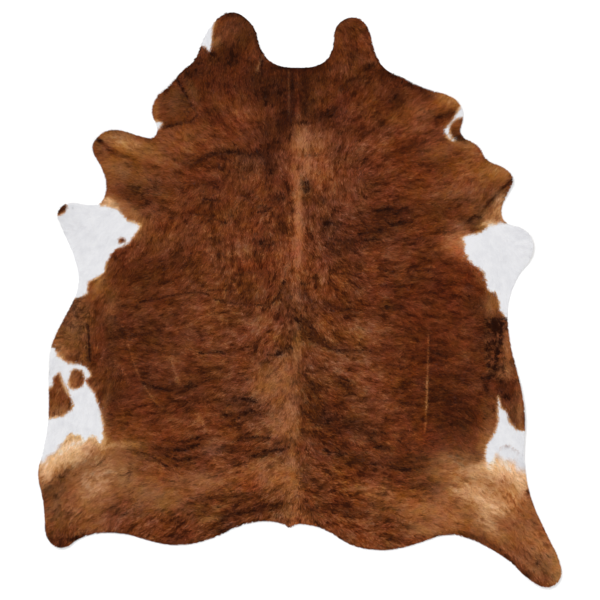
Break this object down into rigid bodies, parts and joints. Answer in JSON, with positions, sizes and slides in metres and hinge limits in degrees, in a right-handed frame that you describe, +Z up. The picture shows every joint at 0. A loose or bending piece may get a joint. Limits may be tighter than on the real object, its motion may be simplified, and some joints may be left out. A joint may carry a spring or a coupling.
{
  "type": "cowhide rug",
  "caption": "Flat hair-on cowhide rug in one piece, brindled brown with white belly patches, with the natural outline of ears, legs, rump and flanks.",
  "frame": {"origin": "middle of the hide's box, on the surface that it lies on", "axes": "+Z up, out of the hair side; +Y towards the neck, with the tail at -Y; +X to the right when seen from above"},
  "size_m": [2.0014, 2.2, 0.0164],
  "materials": {
    "hide": "short glossy hair on the upper side, suede on the underside"
  },
  "bodies": {
    "root": {"hide": "hide"}
  },
  "joints": []
}
